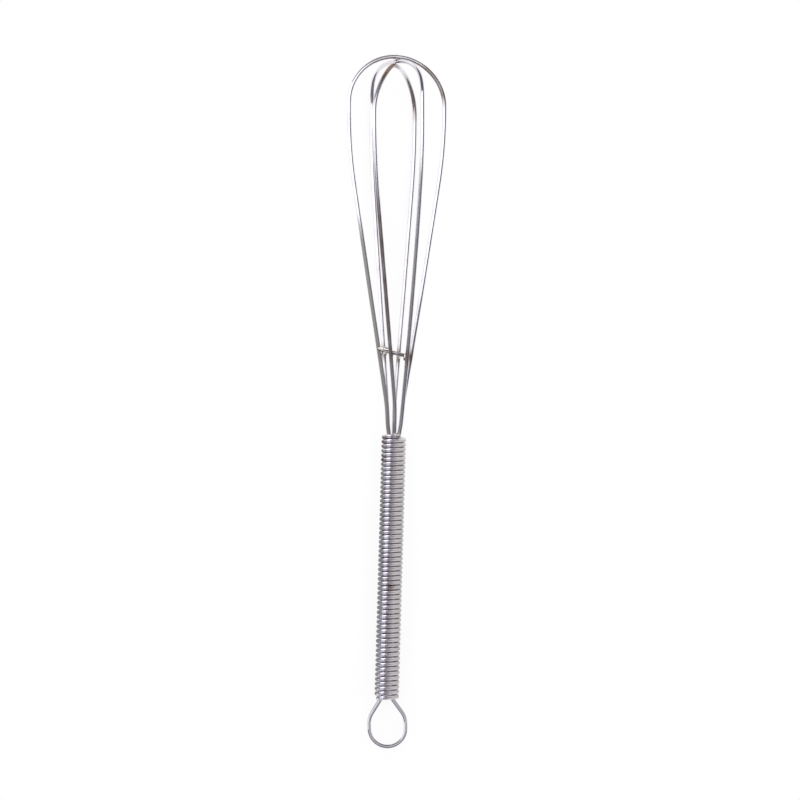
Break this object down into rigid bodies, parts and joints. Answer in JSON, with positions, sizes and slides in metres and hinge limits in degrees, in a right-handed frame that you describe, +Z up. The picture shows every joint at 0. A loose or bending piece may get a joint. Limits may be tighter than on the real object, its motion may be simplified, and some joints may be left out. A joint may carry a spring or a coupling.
{
  "type": "dough whisk",
  "caption": "Small wire whisk: nested wire loops make a long balloon, drawn in by a neck ring, on a handle of close-wound wire with a wire eye to hang it by.",
  "frame": {"origin": "on the surface that the whisk lies on, under the middle of its bounding box", "axes": "+Y towards the tip of the balloon, +Z up off the surface, +X to the right seen from above"},
  "size_m": [0.0288, 0.1996, 0.0258],
  "materials": {
    "hoop_wire": "drawn steel wire, chrome plated, bright",
    "ring_wire": "drawn steel wire, chrome plated, soldered",
    "coil_wire": "drawn steel wire, wound and chrome plated, bright",
    "eye_wire": "drawn steel wire, chrome plated, bright"
  },
  "bodies": {
    "root": {"hoop_outer": "hoop_wire", "hoop_middle": "hoop_wire", "hoop_inner": "hoop_wire", "neck_ring": "ring_wire", "handle_coil": "coil_wire", "hanging_eye": "eye_wire"}
  },
  "joints": []
}
